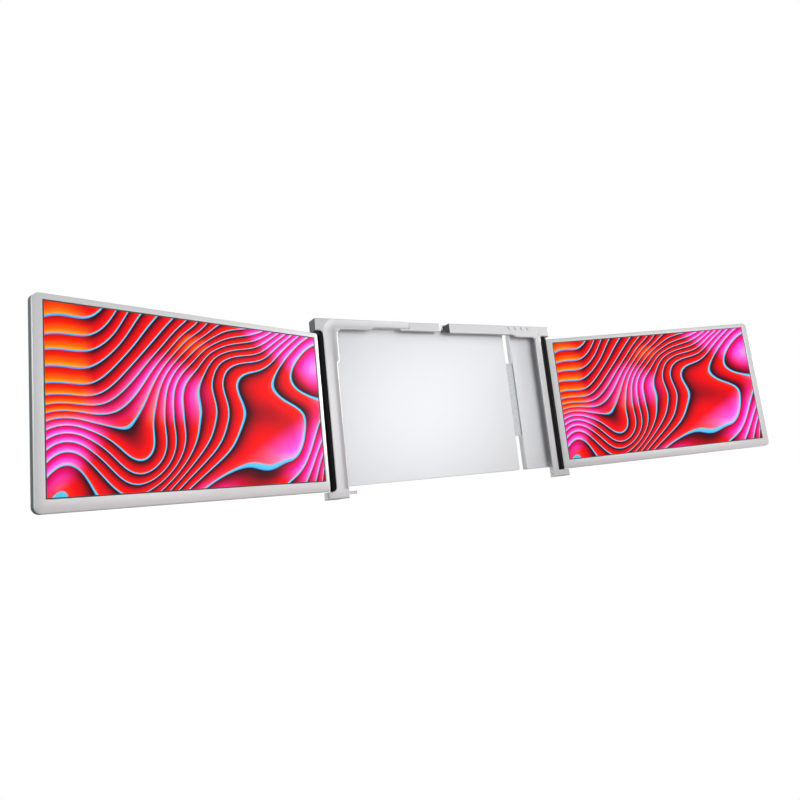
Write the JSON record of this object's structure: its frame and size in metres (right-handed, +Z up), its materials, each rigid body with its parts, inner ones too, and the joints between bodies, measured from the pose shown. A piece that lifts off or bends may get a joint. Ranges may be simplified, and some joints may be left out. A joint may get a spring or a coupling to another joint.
{
  "type": "laptop screen extender",
  "caption": "Hinged side screens on a widening frame that hooks over a laptop's lid, with a fold-out kickstand behind.",
  "frame": {"origin": "middle of the seat plate's face, on which the back of the laptop's lid rests", "axes": "+X to the right for someone at the laptop, +Y backwards through the lid, +Z up along the lid"},
  "size_m": [0.9287, 0.1351, 0.2127],
  "materials": {
    "silver_plastic": "silver paint on moulded plastic, satin",
    "aluminium": "fine-blasted anodised aluminium",
    "spine_black": "black moulded plastic, semi-gloss",
    "dark_plastic": "dark grey moulded plastic",
    "steel": "ground steel",
    "brass": "stamped friction washers",
    "rubber": "soft black rubber",
    "gasket": "dark grey-green foam strip",
    "picture": "lit display showing a red and pink wave pattern",
    "light_guide": "white acrylic light guide",
    "circuit_board": "green solder mask"
  },
  "bodies": {
    "left_half": {"left_frame": "silver_plastic", "left_bar_cover": "silver_plastic", "top_rail": "aluminium", "rail_lip": "silver_plastic", "rail_slider": "dark_plastic", "left_lip_pad": "rubber", "left_hinge_pins": "steel", "left_hinge_washers": "brass", "seat_plate": "aluminium", "back_cover": "silver_plastic", "main_board": "circuit_board", "usb_c_ports": "steel", "button_board": "circuit_board", "back_cover_screws": "steel"},
    "right_half": {"right_sleeve": "silver_plastic", "sleeve_collar": "dark_plastic", "right_end_cap": "silver_plastic", "right_column": "silver_plastic", "indicator_windows": "dark_plastic", "right_seat_plate": "aluminium", "right_back_cover": "silver_plastic", "tongue_plate": "steel", "right_back_screws": "steel", "right_lip_pad": "rubber", "right_hinge_pins": "steel", "right_hinge_washers": "brass"},
    "left_screen": {"left_spine": "spine_black", "left_hinge_brackets": "steel", "left_bezel": "silver_plastic", "left_gasket": "gasket", "left_display_panel": "picture", "left_backlight": "light_guide", "left_driver_board": "circuit_board", "left_rear_cover": "aluminium", "left_screen_screws": "steel"},
    "right_screen": {"right_spine": "spine_black", "right_hinge_brackets": "steel", "right_bezel": "silver_plastic", "right_gasket": "gasket", "right_display_panel": "picture", "right_backlight": "light_guide", "right_driver_board": "circuit_board", "right_rear_cover": "aluminium", "right_screen_screws": "steel"},
    "stand": {"kickstand": "aluminium", "kickstand_pins": "steel", "kickstand_foot": "rubber"},
    "left_clip": {"left_clip": "silver_plastic", "left_clip_pad": "rubber"},
    "right_clip": {"right_clip": "silver_plastic", "right_clip_pad": "rubber"},
    "power_button": {"power_button": "dark_plastic"},
    "plus_button": {"plus_button": "dark_plastic"},
    "minus_button": {"minus_button": "dark_plastic"}
  },
  "joints": [
    {"name": "widen", "type": "slide", "parent": "left_half", "child": "right_half", "axis": [1, 0, 0], "range_m": [-0.008, 0.06]},
    {"name": "left_screen_hinge", "type": "hinge", "parent": "left_half", "child": "left_screen", "pos_m": [-0.1675, -0.0045, 0], "axis": [0, 0, 1], "range_deg": [-35.5, 69.5]},
    {"name": "right_screen_hinge", "type": "hinge", "parent": "right_half", "child": "right_screen", "pos_m": [0.1675, -0.0045, 0], "axis": [0, 0, -1], "range_deg": [-37, 68]},
    {"name": "kickstand_hinge", "type": "hinge", "parent": "left_half", "child": "stand", "pos_m": [-0.01, 0.00755, 0.034], "axis": [1, 0, 0], "range_deg": [0, 65]},
    {"name": "left_clip_slide", "type": "slide", "parent": "left_half", "child": "left_clip", "axis": [-1, 0, 0], "range_m": [0, 0.007]},
    {"name": "right_clip_slide", "type": "slide", "parent": "right_half", "child": "right_clip", "axis": [1, 0, 0], "range_m": [-0.006, 0.0009]},
    {"name": "power_button_press", "type": "slide", "parent": "left_half", "child": "power_button", "axis": [0, 0, -1], "range_m": [0, 0.0006], "stiffness_N_per_m": 1200},
    {"name": "plus_button_press", "type": "slide", "parent": "left_half", "child": "plus_button", "axis": [0, 0, -1], "range_m": [0, 0.0006], "stiffness_N_per_m": 1200},
    {"name": "minus_button_press", "type": "slide", "parent": "left_half", "child": "minus_button", "axis": [0, 0, -1], "range_m": [0, 0.0006], "stiffness_N_per_m": 1200}
  ]
}
